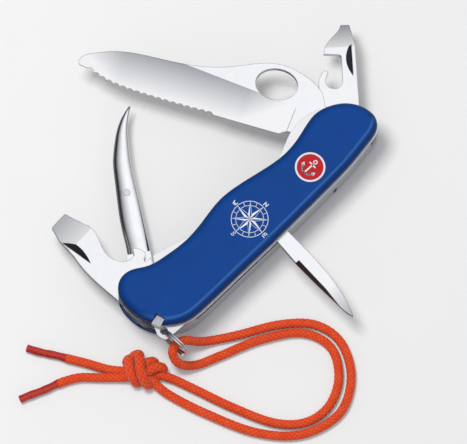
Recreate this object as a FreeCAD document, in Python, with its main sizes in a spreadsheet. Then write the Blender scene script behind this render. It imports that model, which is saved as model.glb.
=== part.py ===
"""Rigging knife: five folding tools in three layers between two nylon scales, with a ring and a cord.

Frame: +X from the ring end (tail) to the main blade's pivot (head), +Y to the belly side where the
tools leave the handle, +Z from the rear scale to the front scale. The origin is on the rear scale's
flat outer face, at mid-handle. Each tool is drawn about its own pivot with its length along x, then
turned to the angle at which it stands partly open. Millimetres.
"""
import FreeCAD, Part
import math
import os
import Sketcher

V = FreeCAD.Vector
Z_AXIS = V(0, 0, 1)

CELLS = [
    ("scale_thick", 4.6, "nylon scale"),
    ("scale_round", 3.2, "rounding of a scale's outer rim"),
    ("liner_thick", 0.6, "plain liner"),
    ("lock_thick", 1.1, "liner that carries a lock leaf"),
    ("spike_gap", 4.6, "layer that holds the marlin spike"),
    ("opener_gap", 2.6, "layer that holds the two openers"),
    ("blade_gap", 2.7, "layer that holds the blade and the reamer"),
    ("side_play", 0.1, "play on each face of a tool"),
    ("pin_rad", 1.25, "rivets"),
    ("fixed_play", 0.01, "radial play round a fixed rivet"),
    ("turning_play", 0.05, "radial play round a turning rivet"),
    ("loose_play", 0.9, "extra radius where a spring moves past a rivet"),
    ("pin_inset", 1.9, "length of a rivet inside a scale"),
    ("bush_rad", 1.75, "outside of a bush"),
    ("bush_depth", 1.6, "length of a bush"),
    ("spine_proud", 0.4, "how far plates and springs stand out of the scales along the spine"),
    ("rim_inset", 0.3, "how far plates lie inside the scales elsewhere"),
    ("head_x", 44.8, "head pivot"),
    ("head_y", 2.3, "head pivot"),
    ("tail_x", -47.0, "tail pivot"),
    ("tail_y", 5.0, "tail pivot"),
    ("middle_x", 2.8, "middle rivet, which is the reamer's pivot"),
    ("middle_y", -9.2, "middle rivet"),
    ("spring_x", 24.0, "spring rivet"),
    ("spring_y", -7.9, "spring rivet"),
    ("corner_x", -45.8, "tail corner rivet"),
    ("corner_y", -9.0, "tail corner rivet"),
    ("lug_x", -51.2, "lug hole for the ring"),
    ("lug_y", -9.2, "lug hole"),
    ("lug_rad", 1.4, "lug hole"),
    ("lug_room", 2.4, "radius of the room beside the lug for the ring"),
    ("blade_angle", 120.7, "blade, from +X"),
    ("can_angle", 51.1, "can opener, from +X"),
    ("bottle_angle", 95.0, "bottle opener, from +X"),
    ("spike_angle", 58.0, "marlin spike, from +X"),
    ("reamer_angle", -90.0, "reamer, from +X"),
    ("leaf_slot", 0.25, "slot round a lock leaf"),
    ("leaf_relief", 0.55, "hollow in the front scale over the blade's lock leaf"),
    ("spike_pin_rad", 1.2, "pin set in the marlin spike"),
    ("spike_pin_at", 39.3, "distance of that pin from the spike's pivot"),
    ("key_depth", 2.4, "shackle-key slot in the spike's rear face"),
    ("wire_rad", 0.4, "split ring's wire"),
    ("coil_rad", 5.6, "split ring, to the wire's centre"),
    ("coil_pitch", 0.86, "split ring, from coil to coil"),
    ("ring_azimuth", -85.0, "way the ring hangs from the lug, from +X"),
    ("ring_drop", 30.0, "how far the ring hangs below the level"),
    ("cord_rad", 1.5, "cord"),
    ("sleeve_rad", 1.45, "cord end sleeve"),
    ("sleeve_long", 14.5, "cord end sleeve"),
    ("sleeve_play", 0.05, "play between a sleeve and the cord"),
    ("tip_rad", 0.9, "cord squeezed inside its sleeve"),
    ("tip_long", 3.0, "cord squeezed inside its sleeve"),
    ("tweezer_angle", 18.0, "tweezers' channel, from +X"),
    ("tweezer_x", -49.1, "tweezers' head"),
    ("tweezer_y", -5.15, "tweezers' head"),
    ("tweezer_long", 42.0, "tweezers' blades"),
    ("pick_y", -0.5, "toothpick's centre line"),
    ("pick_long", 46.0, "toothpick"),
    ("pick_thick", 1.15, "toothpick"),
    ("badge_x", 25.9, "badge"),
    ("badge_y", -1.0, "badge"),
    ("badge_rad", 5.4, "badge"),
    ("badge_thick", 0.8, "badge"),
    ("badge_proud", 0.1, "badge above the scale"),
]

doc = FreeCAD.newDocument("RiggingKnife")
sheet = doc.addObject("Spreadsheet::Sheet", "Layout")
SIZE = {}
for row, (alias, value, what) in enumerate(CELLS, start=1):
    sheet.set(f"A{row}", what)
    sheet.set(f"B{row}", str(value))
    sheet.setAlias(f"B{row}", alias)
    SIZE[alias] = value
doc.recompute()

L = "Layout."
REAR_LINER = L + "scale_thick"
SPIKE_LAYER = f"({REAR_LINER} + {L}liner_thick)"
SPIKE_LOCK = f"({SPIKE_LAYER} + {L}spike_gap)"
OPENER_LAYER = f"({SPIKE_LOCK} + {L}lock_thick)"
DIVIDER = f"({OPENER_LAYER} + {L}opener_gap)"
BLADE_LAYER = f"({DIVIDER} + {L}liner_thick)"
FRONT_LOCK = f"({BLADE_LAYER} + {L}blade_gap)"
FRONT_SCALE = f"({FRONT_LOCK} + {L}lock_thick)"
TOP = f"({FRONT_SCALE} + {L}scale_thick)"


def level(expression):
    """The height, as a number, that one of the expressions above stands for."""
    terms = expression.replace("(", "").replace(")", "").split("+")
    return sum(SIZE[term.strip().removeprefix(L)] for term in terms)


# ---------------------------------------------------------------- drawing helpers

def arc(middle, end):
    return ("arc", middle, end)


def curve(*points):
    return ("curve", points)


def edges(start, *steps):
    """Curves from start back to start. A step is a point (straight), an arc or a smooth curve."""
    here, made = V(*start, 0), []
    for step in steps + (start,):
        if step[0] == "arc":
            middle, end = V(*step[1], 0), V(*step[2], 0)
            made.append(Part.Arc(here, middle, end))
        elif step[0] == "curve":
            points = [V(*point, 0) for point in step[1]]
            end = points[-1]
            smooth = Part.BSplineCurve()
            smooth.interpolate([here] + points)
            made.append(smooth)
        else:
            end = V(*step, 0)
            if end.distanceToPoint(here) < 1e-6:
                continue
            made.append(Part.LineSegment(here, end))
        here = end
    return made


def closed_curve(points):
    smooth = Part.BSplineCurve()
    smooth.interpolate([V(x, y, 0) for x, y in points], PeriodicFlag=True)
    return [smooth]


def sketch_on(body, name, curves):
    sketch = body.newObject("Sketcher::SketchObject", name)
    ground = next(item for item in body.Origin.OriginFeatures if item.Role == "XY_Plane")
    sketch.AttachmentSupport = [(ground, "")]
    sketch.MapMode = "FlatFace"
    sketch.addGeometry(curves, False)
    return sketch


def padded(name, curves, height):
    """A body padded up from its own ground plane; height is an expression."""
    body = doc.addObject("PartDesign::Body", name)
    outline = sketch_on(body, name + "_outline", curves)
    pad = body.newObject("PartDesign::Pad", name + "_pad")
    pad.Profile = outline
    pad.setExpression("Length", height)
    doc.recompute()
    return body


def bored(body, name, radius, x="0", y="0"):
    """Cuts a round hole through the body; radius, x and y are expressions."""
    centre = V(0, 0, 0)
    sketch = sketch_on(body, name, [Part.Circle(centre, Z_AXIS, 1.0)])
    sketch.addConstraint(Sketcher.Constraint("Radius", 0, 1.0))
    sketch.addConstraint(Sketcher.Constraint("DistanceX", -1, 1, 0, 3, 1.0))
    sketch.addConstraint(Sketcher.Constraint("DistanceY", -1, 1, 0, 3, 1.0))
    for number, value in enumerate((radius, x, y)):
        sketch.setExpression(f"Constraints[{number}]", value)
    pocket = body.newObject("PartDesign::Pocket", name + "_cut")
    pocket.Profile = sketch
    pocket.Type = "ThroughAll"
    pocket.Midplane = True
    before = body.Shape.Volume
    doc.recompute()
    if body.Shape.Volume > before - 0.01:
        raise RuntimeError(f"{name} cut nothing")
    return body


def put(item, x=None, y=None, z=None, angle=None):
    """Places an object; each of x, y, z and angle (about +Z) is an expression."""
    item.Placement = FreeCAD.Placement(V(), FreeCAD.Rotation(Z_AXIS, 10))
    item.setExpression("Placement.Rotation.Angle", f"{angle or '0'} * 1 deg")
    for axis, value in (("x", x), ("y", y), ("z", z)):
        if value:
            item.setExpression("Placement.Base." + axis, value)
    return item


def cylinder(name, radius, height, x="0", y="0", z="0"):
    item = doc.addObject("Part::Cylinder", name)
    item.setExpression("Radius", radius)
    item.setExpression("Height", height)
    for axis, value in (("x", x), ("y", y), ("z", z)):
        item.setExpression("Placement.Base." + axis, value)
    return item


def joined(name, kind, base, *tools):
    """base with each tool cut away (Part::Cut), kept in common (Part::Common) or fused (Part::Fuse)."""
    result = base
    for number, tool in enumerate(tools):
        step = doc.addObject(kind, f"{name}_{kind[6:].lower()}{number}")
        step.Base = result
        step.Tool = tool
        result = step
    doc.recompute()
    return result


NODES = {}


def keep(node, item):
    item.Label = node
    NODES[node] = item


# ---------------------------------------------------------------- handle outline

# The rim of a scale, from the head round the belly to the tail and back along the spine.
RIM = [
    (55.9, -0.9), (54.5, 4.2), (51.0, 8.6), (46.0, 11.5), (41.0, 12.6), (36.0, 11.8), (29.0, 9.9),
    (22.0, 9.15), (14.0, 10.0), (4.0, 11.7), (-5.0, 12.3), (-14.0, 10.8), (-24.0, 9.5), (-33.0, 10.2),
    (-40.0, 11.8), (-46.0, 14.8), (-50.5, 14.6), (-54.2, 11.2), (-55.3, 5.0), (-53.9, -1.8),
    (-49.8, -8.2), (-43.0, -12.3), (-35.0, -13.0), (-20.0, -12.5), (-5.0, -12.0), (10.0, -11.3),
    (24.0, -10.5), (38.0, -9.4), (47.8, -7.8), (54.0, -5.5),
]


def plate_rim():
    """A plate stands proud along the spine and lies just inside the scales elsewhere."""
    out = []
    for x, y in RIM:
        if y < -4.5:
            out.append((x, y - SIZE["spine_proud"]))
        else:
            out.append((x * (1 - SIZE["rim_inset"] / 55), y - math.copysign(SIZE["rim_inset"], y)))
    return out


def rivet_holes(body, names, play):
    for name in names:
        spot = {"x": f"{L}{name}_x", "y": f"{L}{name}_y"}
        bored(body, f"{body.Name}_{name}_hole", f"{L}pin_rad + {L}{play}", **spot)


def lug_notch(name):
    """Room beside the lug for the ring, in every plate but the one that carries the lug."""
    return cylinder(name + "_lug_notch", L + "lug_room", TOP, L + "lug_x", L + "lug_y")


def plate(name, thick, rivets):
    body = padded(name + "_plate", closed_curve(plate_rim()), thick)
    rivet_holes(body, rivets, "fixed_play")
    return body


ALL_RIVETS = ("head", "middle", "spring", "corner")


def build_plain_liners():
    rear = put(plate("rear_liner", L + "liner_thick", ALL_RIVETS + ("tail",)), z=REAR_LINER)
    keep("rear_liner", joined("rear_liner", "Part::Cut", rear, lug_notch("rear_liner")))
    middle = put(plate("divider", L + "liner_thick", ALL_RIVETS + ("tail",)), z=DIVIDER)
    keep("divider_liner", joined("divider", "Part::Cut", middle, lug_notch("divider")))


# ---------------------------------------------------------------- liner locks

BLADE_LEAF_ROOT = -8.0
BLADE_LEAF_END = 38.1
SPIKE_LEAF_ROOT = 0.0
SPIKE_LEAF_END = -39.9
PAST_THE_LOBE = 4.0
RELIEF_ROOM = 0.3


def blade_leaf_edges(gap=0.0, far=0.0):
    """The leaf that locks the blade, from its root along the belly, round its thumb lobe, to its end.
    gap widens it by the slot; far pushes the lobe out so that the shape also works as a cutter."""
    root = BLADE_LEAF_ROOT - (0.06 if gap else 0)
    belly = 11.7 + far
    return edges(
        (root, 3.6 - gap), (BLADE_LEAF_END + gap, 3.6 - gap), (BLADE_LEAF_END + gap, 8.9 - gap),
        (45.2 + gap, 8.9 - gap), (45.0 + gap, 12.3 + far),
        curve((41.0, 14.0 + far), (35.0, 14.75 + far), (28.7, 13.3 + far), (23.0, 10.6 + far),
              (17.5, 9.1 + far)),
        curve((8.0, 10.6 + far), (-2.0, belly), (root, 11.5 + far)),
    )


def spike_leaf_edges(gap=0.0, far=0.0):
    """The leaf that locks the marlin spike; its end slopes to clear the half-open spike."""
    root = SPIKE_LEAF_ROOT + (0.06 if gap else 0)
    return edges(
        (root, -1.5 - gap), (root, 11.4 + far),
        curve((-8.0, 11.5 + far), (-16.0, 10.9 + far), (-24.0, 12.3 + far), (-31.0, 14.0 + far),
              (-34.7, 14.8 + far)),
        (-36.9 - gap, 11.5), (-38.5 - gap, 8.2), (SPIKE_LEAF_END - gap, 5.0),
        (SPIKE_LEAF_END - gap, -1.5 - gap),
    )


def build_spike_lock():
    slot = SIZE["leaf_slot"]
    blank = put(plate("spike_lock", L + "lock_thick", ALL_RIVETS + ("tail",)), z=SPIKE_LOCK)
    cutter = padded("spike_leaf_slot", spike_leaf_edges(slot, far=PAST_THE_LOBE), L + "lock_thick")
    put(cutter, z=SPIKE_LOCK)
    notch = lug_notch("spike_lock")
    keep("spike_lock_liner", joined("spike_lock", "Part::Cut", blank, cutter, notch))
    leaf = padded("spike_leaf", spike_leaf_edges(), L + "lock_thick")
    keep("spike_lock_leaf", put(leaf, z=SPIKE_LOCK))


def build_blade_lock():
    """The front lock liner also carries the lug for the ring at its tail and spine corner."""
    slot = SIZE["leaf_slot"]
    blank = put(plate("front_lock", L + "lock_thick", ALL_RIVETS), z=FRONT_LOCK)
    lug = padded("lug", edges(
        (-44.0, -12.3), (-50.6, -12.3), arc((-52.5, -12.0), (-53.6, -10.4)),
        arc((-53.9, -9.0), (-53.4, -7.6)), (-52.2, -3.6), (-46.0, -4.0)), L + "lock_thick")
    put(lug, z=FRONT_LOCK)
    cutter = padded("blade_leaf_slot", blade_leaf_edges(slot, far=PAST_THE_LOBE), L + "lock_thick")
    put(cutter, z=FRONT_LOCK)
    eye = cylinder("lug_eye", L + "lug_rad", TOP, L + "lug_x", L + "lug_y")
    corner = cylinder("lug_rivet", f"{L}pin_rad + {L}fixed_play", TOP, L + "corner_x", L + "corner_y")
    whole = joined("front_lock", "Part::Fuse", blank, lug)
    keep("front_lock_liner", joined("front_lock", "Part::Cut", whole, cutter, eye, corner))
    leaf = padded("blade_leaf", blade_leaf_edges(), L + "lock_thick")
    keep("blade_lock_leaf", put(leaf, z=FRONT_LOCK))


# ---------------------------------------------------------------- back springs and spacers

def rim_piece(name, region, gap, layer, fixed, loose=()):
    """The part of the plate outline inside a region, as thick as the layer, bored for its rivets."""
    blank = put(padded(name + "_blank", closed_curve(plate_rim()), gap), z=layer)
    body = padded(name + "_region", region, gap)
    rivet_holes(body, fixed, "fixed_play")
    rivet_holes(body, loose, "loose_play")
    return joined(name, "Part::Common", blank, put(body, z=layer))


def build_springs():
    """Each spring's inner face ends in a pad that the tang of its tool turns against."""
    keep("blade_spring", rim_piece("blade_spring", edges(
        (6.1, -14), (48.4, -14), (48.4, -4.25), (41.2, -4.25), arc((39.6, -5.6), (37.0, -6.2)),
        (6.1, -6.2)), L + "blade_gap", BLADE_LAYER, ("spring",)))
    opener = rim_piece("opener_spring", edges(
        (-50.6, -14), (49.0, -14), (49.0, -4.2), (37.5, -4.2), curve((33.0, -6.0), (24.0, -6.1)),
        (-31.0, -7.2), curve((-36.0, -7.6), (-42.0, -5.2), (-46.6, -2.6)), (-50.6, -2.6)),
        L + "opener_gap", OPENER_LAYER, ("middle", "spring"), ("corner",))
    keep("opener_spring", joined("opener_spring_end", "Part::Cut", opener, lug_notch("opener_spring")))
    spike = rim_piece("spike_spring", edges(
        (-50.0, -14), (28.5, -14), (28.5, -4.6), (10.0, -4.6), (-30.0, -5.6),
        curve((-38.0, -5.6), (-43.0, -4.6)), (-50.0, -4.1)),
        L + "spike_gap", SPIKE_LAYER, ("middle", "spring"), ("corner",))
    keep("spike_spring", joined("spike_spring_end", "Part::Cut", spike, lug_notch("spike_spring")))


def build_spacers():
    tail = rim_piece("tail_spacer", edges(
        (-50.0, -14), (-39.6, -14), (-39.6, -7.4), (-50.0, -6.3)),
        L + "blade_gap", BLADE_LAYER, ("corner",))
    keep("tail_spacer", joined("tail_spacer_end", "Part::Cut", tail, lug_notch("tail_spacer")))
    keep("head_spacer", rim_piece("head_spacer", edges(
        (30.0, -14), (60, -14), (60, 16), (34.0, 16), arc((31.2, 4.0), (30.0, -8.0))),
        L + "spike_gap", SPIKE_LAYER, ("head",)))


# ---------------------------------------------------------------- rivets and bushes

def build_rivets():
    start = f"{REAR_LINER} - {L}pin_inset"
    through = f"{FRONT_SCALE} - {REAR_LINER} + 2 * {L}pin_inset"
    for name, node in (("head", "head_pin"), ("middle", "middle_pin"), ("spring", "spring_pin"),
                       ("corner", "tail_corner_pin")):
        keep(node, cylinder(node, L + "pin_rad", through, f"{L}{name}_x", f"{L}{name}_y", start))
    short = f"{BLADE_LAYER} - {REAR_LINER} + {L}pin_inset"
    keep("tail_pivot_pin", cylinder("tail_pivot_pin", L + "pin_rad", short,
                                    L + "tail_x", L + "tail_y", start))


def bush(name, place, z):
    spot = (f"{L}{place}_x", f"{L}{place}_y", z)
    outer = cylinder(f"{name}_{place}_outer", L + "bush_rad", L + "bush_depth", *spot)
    hole = cylinder(f"{name}_{place}_bore", f"{L}pin_rad + {L}fixed_play", L + "bush_depth", *spot)
    return joined(f"{name}_{place}", "Part::Cut", outer, hole)


def build_bushes():
    for node, places, z in (
            ("rear_bushes", ("head", "middle", "corner", "tail"), f"{REAR_LINER} - {L}bush_depth"),
            ("front_bushes", ("head", "middle", "corner"), FRONT_SCALE)):
        group = doc.addObject("Part::Compound", node)
        group.Links = [bush(node, place, z) for place in places]
        doc.recompute()
        keep(node, group)


# ---------------------------------------------------------------- scales

PICK_SLOT_WIDE = 3.3
PICK_SLOT_DEEP = 1.35
PICK_START = -52.6
SOCKET_PLAY = 0.05


def outer_rim(item, z):
    """Names of the item's edges that lie wholly at height z."""
    names = []
    for number, edge in enumerate(item.Shape.Edges, start=1):
        if abs(edge.BoundBox.ZMin - z) < 1e-3 and abs(edge.BoundBox.ZMax - z) < 1e-3:
            names.append(f"Edge{number}")
    return names


def rounded_scale(name, z):
    """A scale's blank, rounded along the rim of its outer face, which is at height z."""
    body = padded(name, closed_curve(RIM), L + "scale_thick")
    sharp = body.Tip
    fillet = body.newObject("PartDesign::Fillet", body.Name + "_round")
    fillet.Base = (sharp, outer_rim(sharp, z))
    fillet.setExpression("Radius", L + "scale_round")
    doc.recompute()
    return body


def rivet_sockets(name, places, z, height):
    """Blind holes: wide for the bush, then the rivet's own end."""
    tools = []
    for place, bushed in places:
        radius = f"{L}bush_rad + {L}fixed_play" if bushed else f"{L}pin_rad + {L}fixed_play"
        tools.append(cylinder(f"{name}_{place}", radius, height, f"{L}{place}_x", f"{L}{place}_y", z))
    return tools


def pick_slot():
    """A straight slot in the rear scale's inner face, open at the tail."""
    box = doc.addObject("Part::Box", "pick_slot")
    box.setExpression("Length", f"{L}pick_long + 4")
    box.Width, box.Height = PICK_SLOT_WIDE, PICK_SLOT_DEEP
    corner = V(PICK_START - 3.0, SIZE["pick_y"] - PICK_SLOT_WIDE / 2, level(REAR_LINER) - PICK_SLOT_DEEP)
    box.Placement = FreeCAD.Placement(corner, FreeCAD.Rotation())
    return box


def build_rear_scale():
    body = rounded_scale("rear_scale_body", 0.0)
    sockets = rivet_sockets("rear_socket", [("head", True), ("middle", True), ("corner", True),
                                            ("tail", True), ("spring", False)],
                            f"{REAR_LINER} - {L}pin_inset - {SOCKET_PLAY}",
                            f"{L}pin_inset + {SOCKET_PLAY}")
    keep("rear_scale", joined("rear_scale", "Part::Cut", body, *sockets, pick_slot()))


def build_front_scale():
    body = put(rounded_scale("front_scale_body", SIZE["scale_thick"]), z=FRONT_SCALE)
    sockets = rivet_sockets("front_socket", [("head", True), ("middle", True), ("corner", True),
                                             ("spring", False)],
                            FRONT_SCALE, f"{L}pin_inset + {SOCKET_PLAY}")
    relief = padded("leaf_relief", blade_leaf_edges(RELIEF_ROOM, far=PAST_THE_LOBE), L + "leaf_relief")
    put(relief, z=FRONT_SCALE)
    pocket = cylinder("badge_pocket", f"{L}badge_rad + {L}fixed_play", L + "badge_thick",
                      L + "badge_x", L + "badge_y", f"{TOP} + {L}badge_proud - {L}badge_thick")
    keep("front_scale", joined("front_scale", "Part::Cut", body, *sockets, relief, pocket,
                               tweezer_channel(), tweezer_notch()))
    badge = cylinder("badge_disc", L + "badge_rad", L + "badge_thick",
                     L + "badge_x", L + "badge_y", f"{TOP} + {L}badge_proud - {L}badge_thick")
    keep("badge", badge)


# ---------------------------------------------------------------- tweezers and toothpick

TWEEZER_STEEL = 0.5
TWEEZER_WIDE = 3.0
HEAD_LONG = 3.6
HEAD_WIDE = 3.2
HEAD_TALL = 2.6
HEAD_SLANT = 0.5


def along_tweezers(forward, side, z):
    """A point measured from the tweezers' head: forward into the handle, side to the belly."""
    turn = math.radians(SIZE["tweezer_angle"])
    ahead, left = V(math.cos(turn), math.sin(turn), 0), V(-math.sin(turn), math.cos(turn), 0)
    return V(SIZE["tweezer_x"], SIZE["tweezer_y"], z) + ahead * forward + left * side


def tweezer_box(name, start, length, width, height, z):
    box = doc.addObject("Part::Box", name)
    box.Length, box.Width, box.Height = length, width, height
    turn = FreeCAD.Rotation(Z_AXIS, SIZE["tweezer_angle"])
    box.Placement = FreeCAD.Placement(along_tweezers(start, -width / 2, z), turn)
    return box


def tweezer_channel():
    return tweezer_box("tweezer_channel", 0.0, SIZE["tweezer_long"] + 0.8, TWEEZER_WIDE + 0.5, 2.1,
                       level(FRONT_SCALE))


def tweezer_notch():
    return tweezer_box("tweezer_notch", -HEAD_LONG - 3, HEAD_LONG + 3.1, HEAD_WIDE + 0.4,
                       HEAD_TALL + 3, level(FRONT_SCALE))


def build_tweezers():
    """Two sprung strips under one grey head. The head fills a notch in the front scale's rim."""
    floor = level(FRONT_SCALE) + 0.2
    long = SIZE["tweezer_long"]
    strips = [tweezer_box("tweezer_lower", 0.0, long, TWEEZER_WIDE, TWEEZER_STEEL, floor),
              tweezer_box("tweezer_upper", 0.0, long, TWEEZER_WIDE, TWEEZER_STEEL, floor + 1.1),
              tweezer_box("tweezer_root", 0.0, 5.0, TWEEZER_WIDE, 1.1 + TWEEZER_STEEL, floor)]
    keep("tweezers", joined("tweezers", "Part::Fuse", *strips))
    turn = FreeCAD.Rotation(Z_AXIS, SIZE["tweezer_angle"])
    head = padded("tweezers_head_body", edges(
        (0, -HEAD_WIDE / 2), (0, HEAD_WIDE / 2), (-HEAD_LONG, HEAD_WIDE / 2),
        (HEAD_SLANT - HEAD_LONG, -HEAD_WIDE / 2)), f"{HEAD_TALL}")
    head.Placement = FreeCAD.Placement(along_tweezers(-0.02, 0, floor), turn)
    keep("tweezers_head", head)


def build_toothpick():
    """A flat nylon pick with a wider end that stands in the rear scale's tail."""
    long = SIZE["pick_long"]
    pick = padded("toothpick_body", edges(
        (0, -1.5), (6.0, -1.5), (8.0, -1.1), (long - 8, -1.1), curve((long - 3, -0.6), (long, 0)),
        curve((long - 3, 0.6), (long - 8, 1.1)), (8.0, 1.1), (6.0, 1.5), (0, 1.5),
        arc((-0.8, 0), (0, -1.5))), L + "pick_thick")
    place = V(PICK_START, SIZE["pick_y"], level(REAR_LINER) - SIZE["pick_thick"] - SIZE["side_play"])
    pick.Placement = FreeCAD.Placement(place, FreeCAD.Rotation())
    keep("toothpick", pick)


# ---------------------------------------------------------------- folding tools

def tool_blank(name, curves, gap):
    """A tool's flat blank, bored for its rivet, drawn about the rivet with its length along +x."""
    body = padded(name + "_blank", curves, f"{L}{gap} - 2 * {L}side_play")
    return bored(body, name + "_bore", f"{L}pin_rad + {L}turning_play")


def slant(name, start, heading, tilt, long, wide, z, top=True):
    """A block whose floor rises to the right of a line and sinks to its left, to grind a bevel.
    The line starts at start and runs along heading; tilt is the floor's angle."""
    block = doc.addObject("Part::Box", name)
    block.Length, block.Width, block.Height = long, wide, 6.0
    turn = FreeCAD.Rotation(Z_AXIS, heading)
    lean = FreeCAD.Rotation(V(1, 0, 0), -tilt if top else tilt)
    drop = V(0, 0, 0 if top else -6.0)
    rotation = turn.multiply(lean)
    block.Placement = FreeCAD.Placement(V(start[0], start[1], z) + rotation.multVec(drop), rotation)
    return block


def nail_nick(name, middle, heading, z, half=6.2, wide=2.2, depth=0.7):
    """A wheel-cut nick: a cone lying on its side, deepest along the line through middle."""
    reach = (half ** 2 + depth ** 2) / (2 * depth)
    cone = doc.addObject("Part::Cone", name)
    cone.Radius1, cone.Radius2, cone.Height = reach, reach - depth, wide
    turn = FreeCAD.Rotation(Z_AXIS, heading).multiply(FreeCAD.Rotation(V(1, 0, 0), -90))
    cone.Placement = FreeCAD.Placement(V(middle[0], middle[1], z + reach - depth), turn)
    return cone


def thickness(gap):
    return SIZE[gap] - 2 * SIZE["side_play"]


def seat(node, item, pivot, layer, angle):
    """Puts a finished tool on its pivot, in its layer, at the angle at which it stands."""
    put(item, f"{L}{pivot}_x", f"{L}{pivot}_y", f"{layer} + {L}side_play", L + angle)
    keep(node, item)


SERRATION_COUNT = 18
SERRATION_DEPTH = 0.85
SERRATED_EDGE = [(45.8, 8.0), (58.0, 8.35), (71.9, 8.3), (83.6, 7.5), (93.2, 4.6)]


def serrations():
    """Hollow arcs of equal length along the cutting edge, each a little cut into the blade."""
    line = Part.BSplineCurve()
    line.interpolate([V(x, y, 0) for x, y in SERRATED_EDGE])
    span = line.LastParameter - line.FirstParameter
    points = [line.value(line.FirstParameter + span * n / SERRATION_COUNT)
              for n in range(SERRATION_COUNT + 1)]
    steps = []
    for here, there in zip(points, points[1:]):
        chord = there - here
        inward = V(chord.y, -chord.x, 0).normalize()
        bottom = (here + there) * 0.5 + inward * SERRATION_DEPTH
        steps.append(arc((bottom.x, bottom.y), (there.x, there.y)))
    return steps


def blade_outline():
    """Runs from the tang under the hump to the tip and back along the edge."""
    teeth = serrations()
    corners = [(45.8, 8.0)] + [tooth[2] for tooth in teeth]
    back = []
    for number in range(len(teeth) - 1, -1, -1):
        back.append(arc(teeth[number][1], corners[number]))
    tip = corners[-1]
    return edges(
        (0, 6.5), arc((-6.5, 0), (0, -6.5)), (8.6, -6.3),
        curve((12.4, -12.0), (18.6, -15.0), (26.0, -16.4), (33.0, -15.4), (42.0, -11.6),
              (51.0, -8.4), (64.6, -6.3), (76.0, -5.6), (86.0, -3.9), (92.0, -1.6), (96.0, 0.9),
              (96.9, 2.6)),
        arc((96.5, 3.9), (95.2, 4.3)), tip, *back,
        curve((33.0, 8.0), (21.3, 7.9)), curve((19.4, 6.6), (17.4, 6.3)), (0, 6.5))


def oval_hole(name):
    """The thumb hole, wider than it is tall, and leaning."""
    oval = doc.addObject("Part::Ellipse", name + "_rim")
    oval.MajorRadius, oval.MinorRadius = 7.5, 5.65
    oval.Placement = FreeCAD.Placement(V(27.2, -9.0, -1), FreeCAD.Rotation(Z_AXIS, 7.0))
    hole = doc.addObject("Part::Extrusion", name)
    hole.Base = oval
    hole.DirMode = "Custom"
    hole.Dir = V(0, 0, 1)
    hole.LengthFwd = 6.0
    hole.Solid = True
    return hole


GRIND_START = (18.2, -3.1)
GRIND_HEADING = -4.8
GRIND_TILT = 4.1


def build_blade():
    thick = thickness("blade_gap")
    blank = tool_blank("main_blade", blade_outline(), "blade_gap")
    grind = {"start": GRIND_START, "heading": GRIND_HEADING, "tilt": GRIND_TILT, "long": 90, "wide": 24}
    upper = slant("blade_grind_top", **grind, z=thick)
    lower = slant("blade_grind_under", **grind, z=0, top=False)
    blade = joined("main_blade", "Part::Cut", blank, oval_hole("thumb_hole"), upper, lower)
    seat("main_blade", blade, "head", BLADE_LAYER, "blade_angle")


def build_can_opener():
    thick = thickness("opener_gap")
    outline = edges(
        (0, 6.4), arc((-6.4, 0), (0, -6.4)), (9.0, -6.4), (32.2, -6.35), (35.4, -5.6), (39.3, -4.75),
        (39.4, -1.7), (38.0, -1.15), curve((34.6, 1.85), (31.8, 4.1), (28.8, 4.95)), (28.2, -0.4),
        arc((27.8, -1.0), (27.2, -1.2)), (18.2, -1.1), arc((15.9, 1.9), (19.0, 5.0)),
        (22.2, 3.8), arc((22.7, 4.7), (22.3, 5.6)), curve((18.6, 7.4), (13.2, 6.9), (8.6, 6.4)))
    blank = tool_blank("can_opener", outline, "opener_gap")
    tip = slant("can_tip", start=(31.0, 8.0), heading=-90, tilt=10.0, long=20, wide=12, z=thick)
    nick = nail_nick("can_nick", middle=(26.4, -5.0), heading=0, z=thick)
    opener = joined("can_opener", "Part::Cut", blank, tip, nick)
    seat("can_opener", opener, "head", OPENER_LAYER, "can_angle")


def build_bottle_opener():
    """Lever cap lifter with a wide screwdriver end and a notched foot for stripping wire."""
    thick = thickness("opener_gap")
    outline = edges(
        (0, 7.4), arc((-7.4, 0), (0, -7.4)), (4.4, -9.0), (8.3, -11.7), (8.7, -9.1), (9.8, -9.6),
        (10.3, -11.2), arc((12.4, -11.6), (14.5, -10.5)), arc((15.0, -9.9), (14.9, -9.3)),
        (13.3, -8.5), curve((14.0, -4.6), (18.8, -2.05), (24.0, -3.0), (28.0, -4.8), (33.6, -4.8)),
        (40.6, -3.1), arc((41.4, -2.9), (41.65, -2.2)), (41.65, 3.3), arc((41.4, 4.0), (40.6, 4.3)),
        (36.0, 5.8), (28.5, 6.4), curve((15.1, 7.9), (7.0, 7.6), (0, 7.4)))
    blank = tool_blank("bottle_opener", outline, "opener_gap")
    tip = slant("bottle_tip", start=(31.0, 14.0), heading=-90, tilt=6.5, long=30, wide=16, z=thick)
    nick = nail_nick("bottle_nick", middle=(30.4, 5.1), heading=186, z=thick, half=8.0, wide=2.4)
    opener = joined("bottle_opener", "Part::Cut", blank, tip, nick)
    seat("bottle_opener", opener, "tail", OPENER_LAYER, "bottle_angle")


# Marlin spike: distance from the pivot, centre line, half width and half thickness of its round part.
SPIKE_SECTIONS = [
    (14.0, -0.3, 4.50, 2.14), (26.0, -0.4, 4.15, 2.14), (36.0, -0.3, 3.95, 2.14),
    (45.0, -0.4, 3.50, 2.10), (52.0, -0.7, 3.15, 2.00), (58.0, -1.7, 2.55, 1.75),
    (63.5, -3.1, 1.85, 1.40), (68.0, -5.2, 1.05, 0.95), (70.6, -6.9, 0.35, 0.35),
]


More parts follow.
